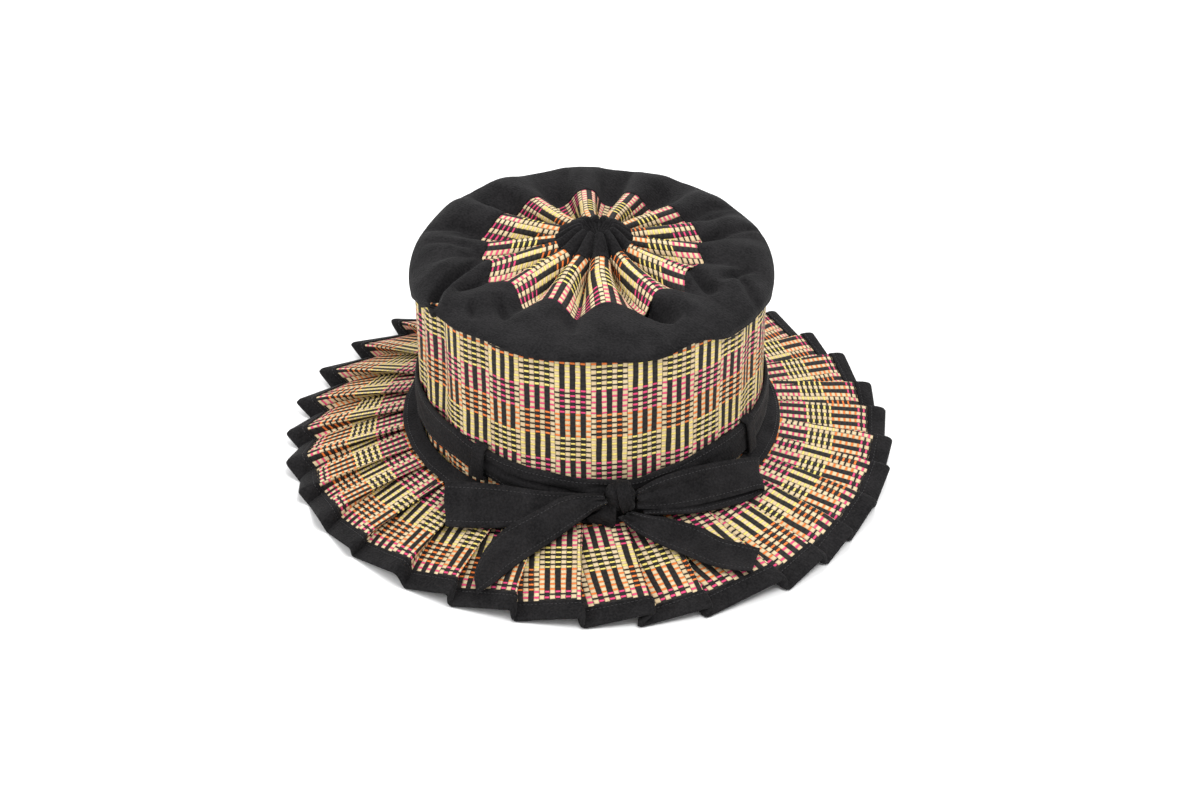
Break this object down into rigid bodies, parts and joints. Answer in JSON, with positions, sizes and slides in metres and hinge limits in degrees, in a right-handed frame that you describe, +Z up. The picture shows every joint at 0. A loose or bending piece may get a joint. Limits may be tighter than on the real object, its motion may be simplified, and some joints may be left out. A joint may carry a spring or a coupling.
{
  "type": "pleated sun hat",
  "caption": "Woven straw sun hat with a knife-pleated brim, a pleated rosette crown with a gathered collar, and black cotton trim with a tied bow.",
  "frame": {"origin": "centre of the brim's base, on the surface that the hat rests on", "axes": "+Z up through the crown, -Y towards the front with the bow, +X to the bow's right as seen from the front"},
  "size_m": [0.341, 0.3348, 0.1399],
  "materials": {
    "woven_mat": "matte woven straw",
    "black_cotton": "matte"
  },
  "bodies": {
    "root": {"crown_side": "woven_mat", "rosette": "woven_mat", "brim": "woven_mat", "crown_shoulder": "black_cotton", "collar": "black_cotton", "gathered_core": "black_cotton", "brim_binding": "black_cotton", "brim_seam_band": "black_cotton", "tie_band": "black_cotton", "belt_loop_front_left": "black_cotton", "belt_loop_front_right": "black_cotton", "belt_loop_back_right": "black_cotton", "belt_loop_back_left": "black_cotton", "bow_knot": "black_cotton", "bow_loop_left": "black_cotton", "bow_loop_right": "black_cotton", "bow_tail_left": "black_cotton", "bow_tail_right": "black_cotton"}
  },
  "joints": []
}
